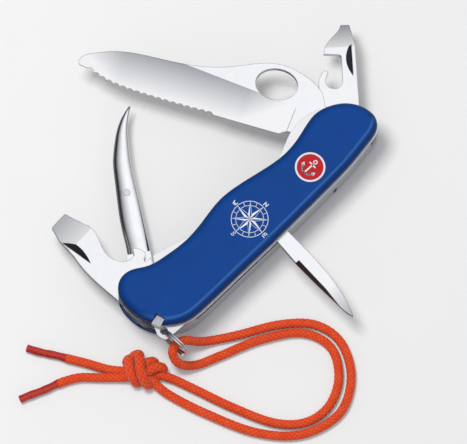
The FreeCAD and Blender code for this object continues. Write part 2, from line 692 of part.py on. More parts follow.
def build_marlin_spike():
    """Curved round spike on a flat tang, with a blind slot under it for shackle keys."""
    thick = thickness("spike_gap")
    tang = tool_blank("spike_tang", edges(
        (0, 5.6), curve((-3.0, 5.2), (-7.0, 3.0)), (-7.0, -3.0), curve((-3.0, -5.0), (0, -5.4)),
        (10.0, -4.9), (17.0, -4.6), (17.0, 4.0), (10.0, 4.4)), "spike_gap")
    rings = []
    for number, (along, side, half_wide, half_thick) in enumerate(SPIKE_SECTIONS):
        ring = doc.addObject("Part::Ellipse", f"spike_ring{number}")
        ring.MajorRadius, ring.MinorRadius = half_wide, half_thick
        upright = FreeCAD.Rotation(Z_AXIS, 90).multiply(FreeCAD.Rotation(V(1, 0, 0), 90))
        ring.Placement = FreeCAD.Placement(V(along, side, thick / 2), upright)
        rings.append(ring)
    horn = doc.addObject("Part::Loft", "spike_horn")
    horn.Sections = rings
    horn.Solid = True
    doc.recompute()
    whole = joined("spike", "Part::Fuse", tang, horn)
    key_slot = padded("key_slot", edges(
        (24.0, -2.0), (44.0, -2.0), arc((46.0, -0.2), (44.0, 1.6)), (24.0, 1.6),
        arc((22.0, -0.2), (24.0, -2.0))), L + "key_depth")
    hole = cylinder("spike_pin_hole", f"{L}spike_pin_rad + {L}fixed_play", "10",
                    L + "spike_pin_at", "-0.3", "-1")
    spike = joined("spike", "Part::Cut", whole, key_slot, hole)
    seat("marlin_spike", spike, "tail", SPIKE_LAYER, "spike_angle")
    button = cylinder("spike_button_pin", L + "spike_pin_rad", f"{L}spike_gap - 2 * {L}side_play",
                      L + "spike_pin_at", "-0.3")
    holder = doc.addObject("Part::Compound", "spike_button_place")
    holder.Links = [button]
    seat("spike_button", holder, "tail", SPIKE_LAYER, "spike_angle")


def build_reamer():
    """Pointed awl with one ground edge; it folds along the spine towards the tail."""
    thick = thickness("blade_gap")
    outline = edges(
        (0, 3.0), arc((-3.0, 0), (0, -3.0)), (3.0, -2.6), (12.3, -3.0), (23.6, -2.7), (34.7, -2.1),
        curve((38.5, -1.7), (40.5, -1.1)), (39.6, -0.5), (32.8, 1.65), (23.8, 2.7), (14.9, 3.05),
        (3.0, 2.7))
    blank = tool_blank("reamer", outline, "blade_gap")
    edge_grind = slant("reamer_grind", start=(60.0, -1.6), heading=180, tilt=52, long=47, wide=12,
                       z=thick)
    tip = slant("reamer_tip", start=(27.0, 8.0), heading=-90, tilt=5.0, long=20, wide=20, z=thick)
    reamer = joined("reamer", "Part::Cut", blank, edge_grind, tip)
    seat("reamer", reamer, "middle", BLADE_LAYER, "reamer_angle")


# ---------------------------------------------------------------- ring and cord

def build_split_ring():
    """Two coils of wire through the lug. The wire is swept half a turn at a time."""
    helix = doc.addObject("Part::Helix", "ring_path")
    helix.SegmentLength = 0.5
    helix.setExpression("Pitch", L + "coil_pitch")
    helix.setExpression("Height", f"2 * {L}coil_pitch")
    helix.setExpression("Radius", L + "coil_rad")
    wire = doc.addObject("Part::Circle", "ring_wire")
    wire.setExpression("Radius", L + "wire_rad")
    wire.Placement = FreeCAD.Placement(V(SIZE["coil_rad"], 0, 0), FreeCAD.Rotation(V(1, 0, 0), 90))
    coil = doc.addObject("Part::Sweep", "ring_coil")
    coil.Sections = [wire]
    coil.Spine = (helix, ["Edge1", "Edge2", "Edge3", "Edge4"])
    coil.Solid = True
    coil.Frenet = True
    drop, turn = math.radians(SIZE["ring_drop"]), math.radians(SIZE["ring_azimuth"])
    away = V(math.cos(drop) * math.cos(turn), math.cos(drop) * math.sin(turn), -math.sin(drop))
    across = V(-math.sin(turn), math.cos(turn), 0)
    eye = V(SIZE["lug_x"], SIZE["lug_y"], level(FRONT_LOCK) + SIZE["lock_thick"] / 2)
    centre = eye + away * SIZE["coil_rad"]
    rotation = FreeCAD.Rotation(away, V(), across, "ZXY")
    coil.Placement = FreeCAD.Placement(centre - across * SIZE["coil_pitch"], rotation)
    doc.recompute()
    keep("split_ring", coil)


# The cord's centre line: out of the knot, round the inner strand, through the ring, back to the knot.
CORD_LOOP = [
    (-58.2, -21.6, 1.8), (-55.2, -29.0, 1.5), (-49.5, -43.4, 1.5), (-42.5, -57.2, 1.5),
    (-34.0, -64.6, 1.5), (-24.1, -65.7, 1.5), (-14.6, -60.4, 1.5), (-9.4, -50.5, 1.5),
    (-13.4, -39.8, 1.5), (-26.0, -31.7, 1.5), (-40.0, -26.6, 1.5), (-49.4, -22.9, 2.2),
    (-54.6, -18.6, 6.4), (-54.2, -15.0, 10.1), (-50.8, -14.2, 11.3), (-46.8, -15.2, 9.2),
    (-42.8, -18.0, 4.4), (-38.4, -20.6, 1.9), (-30.5, -25.2, 1.5), (-17.0, -32.4, 1.5),
    (-7.8, -41.0, 1.5), (-5.6, -52.0, 1.5), (-11.6, -63.6, 1.5), (-23.4, -70.2, 1.5),
    (-38.1, -66.8, 1.5), (-49.6, -55.4, 1.5), (-58.0, -38.6, 1.5), (-63.4, -22.0, 1.8),
]
CORD_ENDS = [
    [(-68.4, -6.6, 2.2), (-72.2, -2.6, 1.6), (-76.7, 3.6, 1.6), (-81.0, 9.6, 1.6)],
    [(-72.6, -9.4, 2.2), (-77.5, -5.0, 1.6), (-83.2, 0.6, 1.6), (-89.5, 4.7, 1.6)],
]
KNOT_LOW = V(-72.0, -19.4, 0.0)
KNOT_SIZE = (15.2, 12.4, 8.0)
KNOT_ROUND = 3.9
STUB_LONG = 5.0


def cord_strand(points):
    """A round tube along a smooth line through the points, and the end points with their tangents."""
    path = Part.BSplineCurve()
    path.interpolate([V(*point) for point in points])
    ends = [(path.value(at), path.tangent(at)[0]) for at in (path.FirstParameter, path.LastParameter)]
    rim = Part.Wire(Part.Circle(*ends[0], SIZE["cord_rad"]).toShape())
    return Part.Wire(path.toShape()).makePipeShell([rim], True, False), ends


def build_cord():
    """One cord: its strands run into the knot through short straight stubs."""
    knot = Part.makeBox(*KNOT_SIZE, KNOT_LOW)
    knot = knot.makeFillet(KNOT_ROUND, knot.Edges)
    loop, ends = cord_strand(CORD_LOOP)
    into_knot = [(ends[0][0], -ends[0][1]), ends[1]]
    tubes, cut_ends = [loop], []
    for points in CORD_ENDS:
        tube, ends = cord_strand(points)
        tubes.append(tube)
        into_knot.append((ends[0][0], -ends[0][1]))
        cut_ends.append(ends[1])
    stubs = [Part.makeCylinder(SIZE["cord_rad"], STUB_LONG, *end) for end in into_knot]
    tips = [Part.makeCylinder(SIZE["tip_rad"], SIZE["tip_long"], *end) for end in cut_ends]
    cord = doc.addObject("Part::Feature", "cord")
    cord.Shape = knot.fuse(stubs).fuse(tubes + tips)
    keep("lanyard_cord", cord)
    sleeves = doc.addObject("Part::Compound", "sleeves")
    sleeves.Links = [cord_sleeve(number, *end) for number, end in enumerate(cut_ends)]
    doc.recompute()
    keep("cord_sleeves", sleeves)


def cord_sleeve(number, cut_end, along):
    """A closed sleeve over the squeezed tip of a cord end."""
    outer = cylinder(f"sleeve{number}_outer", L + "sleeve_rad", L + "sleeve_long")
    mouth = cylinder(f"sleeve{number}_mouth", f"{L}tip_rad + {L}sleeve_play",
                     f"{L}tip_long + {L}sleeve_play")
    body = joined(f"sleeve{number}", "Part::Cut", outer, mouth)
    start = cut_end + along * SIZE["sleeve_play"]
    body.Placement = FreeCAD.Placement(start, FreeCAD.Rotation(Z_AXIS, along))
    return body


# ---------------------------------------------------------------- build, check, export

def check_document():
    doc.recompute()
    for item in doc.Objects:
        if {"Invalid", "Error"} & set(item.State):
            raise RuntimeError(f"{item.Name} failed: {item.State}")
    for node, item in NODES.items():
        if item.Shape.isNull() or not item.Shape.isValid() or not item.Shape.Solids:
            raise RuntimeError(f"{node} has no sound solid")


def export():
    os.makedirs("parts", exist_ok=True)
    for node, item in NODES.items():
        item.Shape.exportStep(f"parts/{node}.step")
        print(f"{node}: {len(item.Shape.Solids)} solid(s), {item.Shape.Volume:.1f} mm3")


build_rear_scale()
build_plain_liners()
build_spike_lock()
build_blade_lock()
build_springs()
build_spacers()
build_rivets()
build_bushes()
build_front_scale()
build_tweezers()
build_toothpick()
build_blade()
build_can_opener()
build_bottle_opener()
build_marlin_spike()
build_reamer()
build_split_ring()
build_cord()
check_document()
export()
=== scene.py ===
"""Looks for the rigging knife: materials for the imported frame, a braided cord with its knot and
sleeves, a compass print and a plain anchor badge.

Lengths in the tables below are millimetres in the CAD frame. "The page" is the picture that the camera
takes: its right and its top point along ACROSS and UP_PAGE.
"""
import math
import bpy
import numpy as np
from mathutils import Matrix, Vector


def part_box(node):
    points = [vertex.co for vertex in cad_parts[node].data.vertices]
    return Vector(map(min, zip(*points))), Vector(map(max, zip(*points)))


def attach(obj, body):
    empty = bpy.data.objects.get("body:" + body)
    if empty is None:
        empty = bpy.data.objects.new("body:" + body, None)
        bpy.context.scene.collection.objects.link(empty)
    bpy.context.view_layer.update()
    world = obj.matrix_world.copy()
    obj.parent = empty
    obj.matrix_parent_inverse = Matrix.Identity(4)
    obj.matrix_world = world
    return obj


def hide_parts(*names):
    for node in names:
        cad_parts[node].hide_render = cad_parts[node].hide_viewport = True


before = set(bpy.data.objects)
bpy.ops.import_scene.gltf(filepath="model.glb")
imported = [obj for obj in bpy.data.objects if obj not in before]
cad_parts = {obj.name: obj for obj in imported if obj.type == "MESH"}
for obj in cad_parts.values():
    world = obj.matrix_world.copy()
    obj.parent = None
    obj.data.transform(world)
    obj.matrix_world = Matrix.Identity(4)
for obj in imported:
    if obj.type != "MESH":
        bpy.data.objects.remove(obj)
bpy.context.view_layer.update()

MM = 0.001
CAMERA_TILT = math.radians(13.5)
CAMERA_TURN = math.radians(42.4)
ACROSS = Vector((math.cos(CAMERA_TURN), -math.sin(CAMERA_TURN), 0))
UP_PAGE = Vector((math.sin(CAMERA_TURN), math.cos(CAMERA_TURN), 0))
# Where each tool's pivot stands, and the way the tool points, in degrees from +X.
TOOLS = {"main_blade": ((44.8, 2.3), 120.7), "can_opener": ((44.8, 2.3), 51.1),
         "bottle_opener": ((-47.0, 5.0), 95.0), "marlin_spike": ((-47.0, 5.0), 58.0),
         "reamer": ((2.8, -9.2), -90.0)}
SCALE_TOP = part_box("front_scale")[1].z / MM


# ---------------------------------------------------------------- colours and node trees

def colour(red, green, blue):
    """An sRGB colour, 0 to 255, as linear RGBA."""
    linear = []
    for value in (red, green, blue):
        share = value / 255
        linear.append(share / 12.92 if share <= 0.04045 else ((share + 0.055) / 1.055) ** 2.4)
    return (*linear, 1.0)


def darker(tone, share):
    return [channel * share for channel in tone[:3]] + [1.0]


# Noise and other patterns lie mostly in this range, so a ramp over it uses them fully.
PATTERN = (0.3, 0.7)
# Painted dark reflection: the thin dark line that runs along the edges of steel parts.
DARK_EDGE_REFLECTION = colour(46, 48, 54)


class Look:
    """A node material: add() makes a node, wires the sockets it is given and sets the other values."""

    def __init__(self, name, **shader):
        self.material = bpy.data.materials.new(name)
        self.material.use_nodes = True
        self.tree = self.material.node_tree
        self.shader = self.tree.nodes["Principled BSDF"]
        self.set(self.shader, {key.replace("_", " "): value for key, value in shader.items()})

    def set(self, node, inputs):
        for key, value in inputs.items():
            if isinstance(value, bpy.types.NodeSocket):
                self.tree.links.new(value, node.inputs[key])
            else:
                node.inputs[key].default_value = value

    def add(self, kind, inputs=None, **settings):
        """Sockets are given by name, or by number where several share a name."""
        node = self.tree.nodes.new("ShaderNode" + kind)
        for key, value in settings.items():
            setattr(node, key, value)
        self.set(node, inputs or {})
        return node

    def wire(self, **sockets):
        self.set(self.shader, {key.replace("_", " "): value for key, value in sockets.items()})

    def place(self, scale=(1, 1, 1), turn=0.0, kind="Object"):
        """Coordinates in millimetres (or in UV units), turned about Z and stretched."""
        unit = 1 / MM if kind == "Object" else 1.0
        source = self.add("TexCoord").outputs[kind]
        turned = self.add("VectorRotate", {"Vector": source, "Angle": -math.radians(turn)},
                          rotation_type="Z_AXIS")
        stretch = {"Vector": turned.outputs["Vector"], "Scale": [axis * unit for axis in scale]}
        return self.add("Mapping", stretch).outputs["Vector"]

    def noise(self, where, size, detail=3.0, rough=0.5):
        inputs = {"Vector": where, "Scale": size, "Detail": detail, "Roughness": rough}
        return self.add("TexNoise", inputs).outputs["Fac"]

    def ramp(self, value, low, high, out_low=0.0, out_high=1.0):
        """Carries low..high over to out_low..out_high and stops there. low may be above high."""
        inputs = {"Value": value, "From Min": low, "From Max": high,
                  "To Min": out_low, "To Max": out_high}
        return self.add("MapRange", inputs).outputs["Result"]

    def blend(self, share, first, second):
        """The first colour at share 0 and the second at share 1. 6 and 7 are Mix's colour sockets."""
        mix = self.add("Mix", {0: share, 6: first, 7: second}, data_type="RGBA")
        return mix.outputs[2]

    def math(self, operation, first, second=0.0):
        return self.add("Math", {0: first, 1: second}, operation=operation).outputs[0]

    def bump(self, height, depth_mm, strength=1.0, normal=None):
        inputs = {"Height": height, "Strength": strength, "Distance": depth_mm * MM}
        if normal:
            inputs["Normal"] = normal
        return self.add("Bump", inputs).outputs["Normal"]

    def dot(self, first, second):
        return self.add("VectorMath", {0: first, 1: second}, operation="DOT_PRODUCT").outputs["Value"]

    def soft_edges(self, radius_mm):
        """The surface's normal, turned near edges as if they were rounded."""
        return self.add("Bevel", {"Radius": radius_mm * MM}, samples=4).outputs["Normal"]

    def near_edge(self, radius_mm):
        """0 on open faces, rising to 1 beside an edge."""
        plain = self.add("NewGeometry").outputs["Normal"]
        return self.ramp(self.dot(self.soft_edges(radius_mm), plain), 0.995, 0.90)

    def no_tint_around(self, tone):
        """The tone as seen, but nearly grey in the light that it throws on the paper around it."""
        spreading = self.add("LightPath").outputs["Is Diffuse Ray"]
        return self.blend(self.math("MULTIPLY", spreading, 0.7), tone, colour(150, 146, 144))

    def on_tool(self, node):
        """Millimetres along a tool and across it, measured from its pivot."""
        (x, y), heading = TOOLS[node]
        turn = {"Vector": self.add("TexCoord").outputs["Object"], "Center": (x * MM, y * MM, 0),
                "Angle": -math.radians(heading)}
        turned = self.add("VectorRotate", turn, rotation_type="Z_AXIS").outputs["Vector"]
        shift = {"Vector": turned, "Location": (-x, -y, 0), "Scale": (1 / MM, 1 / MM, 1 / MM)}
        place = self.add("SeparateXYZ", {"Vector": self.add("Mapping", shift).outputs["Vector"]})
        return {"along": place.outputs["X"], "across": place.outputs["Y"]}

    def uprightness(self):
        """1 where the surface faces straight up or down, 0 where it is a wall at right angles."""
        normal = self.add("NewGeometry").outputs["True Normal"]
        return self.math("ABSOLUTE", self.add("SeparateXYZ", {"Vector": normal}).outputs["Z"])


# ---------------------------------------------------------------- materials

def nylon(name, tint, rough, depth=0.004, gloss=0.3, rim=1.0, streak=None):
    """Moulded nylon: a little uneven in colour and gloss, with a fine moulded skin and faint scuffs.

    rim paints shade that darkens it where the surface turns away to the side, and streak is the colour
    of a painted highlight, the soft light that runs along its lower right rim.
    """
    look = Look(name, Specular_IOR_Level=gloss)
    where = look.place()
    cloud = look.noise(where, 0.09)
    skin = look.noise(where, 5.0, 4.0)
    scuff = look.ramp(look.noise(look.place((0.35, 9.0, 9.0), 24.0), 0.8, 2.0), 0.66, 0.74)
    roughness = look.math("ADD", look.ramp(skin, *PATTERN, rough - 0.03, rough + 0.03),
                          look.math("MULTIPLY", scuff, 0.10))
    # Painted shade where the surface turns away to the side.
    facing = look.ramp(look.uprightness(), 0.5, 0.99)
    body = look.blend(look.ramp(cloud, *PATTERN), darker(tint, 0.86), tint)
    if streak:
        # A painted highlight along the lower right rim.
        lower_right = (ACROSS - UP_PAGE).normalized()
        lean = look.dot(look.add("NewGeometry").outputs["Normal"], lower_right)
        band = look.math("MULTIPLY", look.ramp(lean, 0.10, 0.26), look.ramp(lean, 0.50, 0.30))
        body = look.blend(look.math("MULTIPLY", band, 0.6), body, streak)
    look.wire(Base_Color=look.blend(facing, darker(tint, rim), body), Roughness=roughness,
              Normal=look.bump(skin, depth, normal=look.soft_edges(0.12)))
    return look.material


def steel(name, tint, rough, turn=0.0, grain=0.0012, edge=0.10):
    """Polished metal with a fine grain along the given heading, a few wiping marks and painted dark
    reflection along its edges.
    """
    look = Look(name, Metallic=1.0)
    lines = look.noise(look.place((0.05, 7.0, 7.0), turn), 3.0, 5.0, 0.7)
    marks = look.noise(look.place((0.6, 0.6, 0.6)), 0.35, 4.0, 0.6)
    plain = colour(*tint)
    clean = look.blend(look.ramp(marks, 0.35, 0.75, 0.0, 0.5), plain, darker(plain, 0.88))
    # Painted dark reflection along the edges.
    outline = look.math("MULTIPLY", look.near_edge(edge * 2), 0.6)
    look.wire(Base_Color=look.blend(outline, clean, DARK_EDGE_REFLECTION),
              Roughness=look.math("ADD", look.ramp(lines, *PATTERN, rough - 0.03, rough + 0.04),
                                  look.ramp(marks, 0.5, 0.8, 0.0, 0.05)),
              Normal=look.bump(lines, grain, normal=look.soft_edges(edge)))
    return look.material


# How upright a tool's faces are: the polished flats, and the slanted floors of nicks and grooves,
# which get painted dark reflection.
FLAT = 0.999
STEEP = (0.5, 0.978)


def ground_steel(name, node, fades, dark=(160, 163, 168), light=(236, 237, 240), rough=0.28):
    """A tool's steel: polished flats, satin where it is ground, nearly black in its nicks from painted
    dark reflection.

    A fade is (axis, from, to, lightness from, lightness to). Together they paint a gradient of
    reflected light over the ground faces.
    """
    look = Look(name, Metallic=1.0)
    place, heading = look.on_tool(node), TOOLS[node][1]
    upright = look.uprightness()
    flat = look.math("GREATER_THAN", upright, FLAT)
    steep = look.math("MULTIPLY", look.math("GREATER_THAN", upright, STEEP[0]),
                      look.math("LESS_THAN", upright, STEEP[1]))
    lightness = 0.0
    for axis, *span in fades:
        lightness = look.math("ADD", look.ramp(place[axis], *span), lightness)
    lines = look.noise(look.place((0.04, 6.0, 6.0), heading + 90.0), 3.0, 5.0, 0.75)
    fine = look.noise(look.place((0.05, 7.0, 7.0), heading), 3.0, 4.0)
    marks = look.noise(look.place(), 0.3, 4.0, 0.6)
    # Painted reflection: the ground faces run from grey to nearly white along the fades.
    ground = look.blend(look.ramp(lightness, 0.0, 1.0), colour(*dark), colour(253, 253, 255))
    lined = look.blend(look.ramp(lines, 0.35, 0.68, 0.16, 0.0), ground, colour(110, 112, 118))
    plain = colour(*light)
    polish = look.blend(look.ramp(marks, 0.35, 0.75), plain, darker(plain, 0.96))
    # Painted dark reflection on the slanted floors of nicks and grooves.
    dark_hollow_reflection = look.blend(look.ramp(upright, 0.7, 0.9), colour(112, 117, 124), colour(44, 46, 52))
    faces = look.blend(steep, look.blend(flat, lined, polish), dark_hollow_reflection)
    # Painted dark reflection along the edges.
    tone = look.blend(look.near_edge(0.42), faces, DARK_EDGE_REFLECTION)
    gloss = look.ramp(fine, *PATTERN, 0.10, 0.15)
    satin = look.ramp(lines, *PATTERN, rough - 0.05, rough + 0.08)
    unpolished = look.math("SUBTRACT", 1.0, flat)
    mixed = look.math("ADD", look.math("MULTIPLY", gloss, flat),
                      look.math("MULTIPLY", satin, unpolished))
    look.wire(Base_Color=tone, Roughness=mixed,
              Normal=look.bump(look.math("MULTIPLY", lines, unpolished), 0.005,
                               normal=look.soft_edges(0.16)))
    return look.material


def cord_look():
    """Braided polyester: painted shade makes each yarn darker where it dives under its neighbour."""
    look = Look("cord_orange", Sheen_Weight=0.25, Sheen_Roughness=0.4, Specular_IOR_Level=0.2)
    depth = look.add("Attribute", attribute_name="yarn_height").outputs["Fac"]
    worn = look.noise(look.place(), 0.45, 3.0)
    fibres = look.noise(look.place((1.0, 60.0, 1.0), kind="UV"), 1.6, 3.0, 0.6)
    lit = look.blend(look.ramp(worn, 0.35, 0.7), colour(240, 74, 32), colour(252, 94, 50))
    # Painted shade: darker where the yarns dive under each other, the lit colour on their crowns.
    body = look.blend(look.ramp(depth, 0.05, 0.75), colour(190, 38, 14), lit)
    tone = look.blend(look.ramp(fibres, 0.3, 0.75, 0.0, 0.28), body, colour(250, 118, 72))
    look.wire(Base_Color=look.no_tint_around(tone), Normal=look.bump(fibres, 0.03),
              Roughness=look.ramp(fibres, *PATTERN, 0.62, 0.78))
    return look.material


def sleeve_look():
    look = Look("sleeve_red", Specular_IOR_Level=0.5, Coat_Weight=0.35, Coat_Roughness=0.12)
    ripple = look.noise(look.place(), 1.2, 3.0)
    tone = look.blend(look.ramp(ripple, *PATTERN), colour(168, 26, 12), colour(206, 42, 22))
    look.wire(Base_Color=look.no_tint_around(tone), Normal=look.bump(ripple, 0.10),
              Roughness=look.ramp(ripple, *PATTERN, 0.22, 0.34))
    return look.material


def enamel_look():
    look = Look("badge_enamel", Specular_IOR_Level=0.2, Coat_Weight=0.25, Coat_Roughness=0.06)
    cloud = look.noise(look.place(), 0.8, 3.0)
    tone = look.blend(look.ramp(cloud, *PATTERN), colour(186, 8, 18), colour(204, 14, 26))
    look.wire(Base_Color=tone, Roughness=look.ramp(cloud, *PATTERN, 0.14, 0.22))
    return look.material


def print_look():
    """Pad-printed white ink, a little thinner in places."""
    look = Look("compass_ink", Specular_IOR_Level=0.3, Roughness=0.5)
    thin = look.noise(look.place(), 2.5, 4.0, 0.6)
    look.wire(Base_Color=look.blend(look.ramp(thin, 0.45, 0.75, 0.0, 0.35), colour(246, 249, 255),
                                    colour(176, 194, 228)))
    return look.material


FLOOR_GLOW = 0.14


def floor_look():
    """Matt pale paper that glows a little. Mirrors see it darker, most of all to the left: a painted
    dark reflection.
    """
    look = Look("floor_paper", Roughness=0.9, Specular_IOR_Level=0.05)
    leftward = look.dot(look.add("NewGeometry").outputs["Incoming"], ACROSS)
    # Painted dark reflection: what mirrors see of the paper.
    dark_reflection = look.math("MULTIPLY", look.add("LightPath").outputs["Is Glossy Ray"],
                     look.ramp(leftward, -0.1, 0.25, 0.2, 0.85))
    grain = look.noise(look.place(), 0.02, 2.0)
    paper = look.blend(grain, colour(236, 236, 236), colour(240, 240, 240))
    tone = look.blend(dark_reflection, paper, colour(40, 42, 46))
    look.wire(Base_Color=tone, Emission_Color=tone, Emission_Strength=FLOOR_GLOW)
    return look.material


# Each tool's fades paint a gradient of reflected light over its ground faces.
GROUND_TOOLS = (
    ("steel_blade", "main_blade", [("across", -7.0, 7.5, 0.0, 1.0), ("along", 20.0, 36.0, 0.8, 0.0),
                                   ("along", 82.0, 97.0, 0.0, 0.6)]),
    ("steel_can", "can_opener", [("along", 31.0, 39.5, 1.0, 0.0)]),
    ("steel_bottle", "bottle_opener", [("along", 31.0, 41.0, 1.0, 0.35)]),
    ("steel_reamer", "reamer", [("along", 27.0, 40.0, 0.9, 0.1)]),
)


def paint(material, *nodes):
    for node in nodes:
        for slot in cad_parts[node].material_slots:
            slot.material = material


def paint_frame():
    """Gives every CAD node that stays in sight its material."""
    # The blue nylon gets painted rim shade and a painted highlight along its lower right rim.
    paint(nylon("nylon_blue", colour(15, 71, 150), 0.26, gloss=0.14, rim=0.5,
                streak=colour(70, 124, 200)), "front_scale", "rear_scale")
    paint(nylon("nylon_grey", colour(196, 200, 205), 0.34), "tweezers_head")
    paint(nylon("nylon_ivory", colour(228, 221, 200), 0.36), "toothpick")
    paint(steel("steel_liner", (222, 223, 227), 0.20), "rear_liner", "divider_liner",
          "spike_lock_liner", "front_lock_liner")
    paint(steel("steel_leaf", (232, 233, 236), 0.15), "spike_lock_leaf", "blade_lock_leaf")
    paint(steel("steel_spring", (206, 208, 212), 0.22), "blade_spring", "opener_spring",
          "spike_spring", "tail_spacer", "head_spacer")
    paint(steel("steel_pin", (216, 216, 220), 0.22, turn=45.0), "spike_button")
    paint(steel("steel_ring", (214, 216, 222), 0.10, grain=0.0004, edge=0.02), "split_ring")
    paint(steel("steel_tweezers", (214, 215, 220), 0.26, turn=18.0), "tweezers")
    paint(steel("brass", (214, 178, 96), 0.24, turn=30.0), "head_pin", "middle_pin",
          "spring_pin", "tail_corner_pin", "tail_pivot_pin", "rear_bushes", "front_bushes")
    paint(steel("steel_spike", (236, 237, 240), 0.07, TOOLS["marlin_spike"][1], grain=0.0004),
          "marlin_spike")
    for name, node, fades in GROUND_TOOLS:
        paint(ground_steel(name, node, fades), node)
    paint(enamel_look(), "badge")


# ---------------------------------------------------------------- print and badge

class Sheet:
    """Collects flat shapes, in millimetres, into one thin closed mesh standing on a level surface."""

    def __init__(self, floor, thick):
        self.floor, self.thick = floor, thick
        self.points, self.faces = [], []

    def shape(self, outline, hole=None):
        """One closed outline, or a band between an outline and a hole with as many points."""
        turned = sum(a[0] * b[1] - b[0] * a[1] for a, b in zip(outline, outline[1:] + outline[:1]))
        if turned < 0:
            outline = outline[::-1]
        rings = [outline, hole] if hole else [outline]
        count, base = len(outline), len(self.points)
        for height in (self.floor, self.floor + self.thick):
            for ring in rings:
                self.points += [(x, y, height) for x, y in ring]
        top = base + count * len(rings)
        self.walls(base, top, count)
        if hole:
            self.walls(top + count, base + count, count)
            self.walls(top, top + count, count)
            self.walls(base + count, base, count)
        else:
            self.faces.append(tuple(range(top, top + count)))
            self.faces.append(tuple(range(base + count - 1, base - 1, -1)))

    def walls(self, low, high, count):
        """Side faces between two rings of points that start at these numbers."""
        for here in range(count):
            there = (here + 1) % count
            self.faces.append((low + here, low + there, high + there, high + here))

    def stroke(self, start, end, wide):
        """A straight line that runs a little past both points, so that bends close."""
        start, end = Vector(start), Vector(end)
        along = (end - start).normalized() * (wide * 0.35)
        side = Vector((-along.y, along.x)).normalized() * (wide / 2)
        self.shape([tuple(start - along - side), tuple(end + along - side),
                    tuple(end + along + side), tuple(start - along + side)])

    def chain(self, spots, wide):
        for start, end in zip(spots, spots[1:]):
            self.stroke(start, end, wide)

    def ring(self, centre, radius, wide, count=96):
        turns = [math.tau * step / count for step in range(count)]
        edges = [[(centre[0] + size * math.cos(turn), centre[1] + size * math.sin(turn))
                  for turn in turns] for size in (radius + wide / 2, radius - wide / 2)]
        self.shape(*edges)

    def piece(self, name, material, body):
        """Makes the visible object, and fixes it to a body."""
        mesh = bpy.data.meshes.new(name)
        mesh.from_pydata([Vector(point) * MM for point in self.points], [], self.faces)
        mesh.materials.append(material)
        item = bpy.data.objects.new(name, mesh)
        bpy.context.scene.collection.objects.link(item)
        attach(item, body)
        return item


PRINT_THICKNESS = 0.03
ROSE = (-2.5, -0.5)
ROSE_OUTER = 6.5
ROSE_INNER = 4.9
# How far from the middle a point of the star is widest.
WIDE_SHOULDER, SLIM_SHOULDER = 2.15, 1.7
TIP_GAP = 0.1
OUTER_LINE, INNER_LINE, STAR_LINE, LETTER_LINE = 0.21, 0.168, 0.11, 0.30
LETTER_HEIGHT = 1.45
LETTER_GAP = 1.3
# Pen strokes in a square of one letter height: x to the right, y up.
LETTERS = {
    "N": [[(0, 0), (0, 1), (0.8, 0), (0.8, 1)]],
    "E": [[(0.7, 0), (0, 0), (0, 1), (0.7, 1)], [(0, 0.5), (0.6, 0.5)]],
    "S": [[(0, 0.12), (0.3, 0), (0.65, 0.1), (0.65, 0.38), (0.08, 0.62), (0.08, 0.88), (0.35, 1),
           (0.7, 0.9)]],
    "W": [[(0, 1), (0.25, 0), (0.5, 0.8), (0.75, 0), (1.0, 1)]],
}


def on_rose(radius, turn):
    return Vector((ROSE[0] + radius * math.cos(turn), ROSE[1] + radius * math.sin(turn)))


def rose_star(sheet):
    """Eight points, each half filled and half outlined; the four between the letters are slimmer."""
    for step in list(range(1, 8, 2)) + list(range(0, 8, 2)):
        turn = step * math.pi / 4
        shoulder = WIDE_SHOULDER if step % 2 == 0 else SLIM_SHOULDER
        tip = tuple(on_rose(ROSE_OUTER - TIP_GAP, turn))
        filled = tuple(on_rose(shoulder, turn + math.pi / 8))
        open_side = tuple(on_rose(shoulder, turn - math.pi / 8))
        sheet.shape([ROSE, tip, filled])
        sheet.stroke(open_side, tip, STAR_LINE)
        sheet.stroke(ROSE, open_side, STAR_LINE)


def rose_letters(sheet):
    """Plain letters outside the ring, all upright towards north, which is +X."""
    for letter, turn in (("N", 0), ("W", 90), ("S", 180), ("E", 270)):
        width = max(x for line in LETTERS[letter] for x, y in line) * LETTER_HEIGHT
        middle = on_rose(ROSE_OUTER + LETTER_GAP, math.radians(turn))
        for line in LETTERS[letter]:
            sheet.chain([(middle.x + (y - 0.5) * LETTER_HEIGHT,
                          middle.y - x * LETTER_HEIGHT + width / 2) for x, y in line], LETTER_LINE)


def make_compass():
    sheet = Sheet(SCALE_TOP, PRINT_THICKNESS)
    sheet.ring(ROSE, ROSE_OUTER, OUTER_LINE)
    sheet.ring(ROSE, ROSE_INNER, INNER_LINE)
    for step in range(8):
        turn = (step + 0.5) * math.pi / 4
        sheet.stroke(on_rose(ROSE_INNER, turn), on_rose(ROSE_OUTER, turn), INNER_LINE)
    rose_star(sheet)
    rose_letters(sheet)
    sheet.piece("compass_print", print_look(), "handle")


RELIEF = 0.16
BADGE_RIM = 0.7
ARM_RADIUS = 2.6
ARM_MIDDLE = -0.3


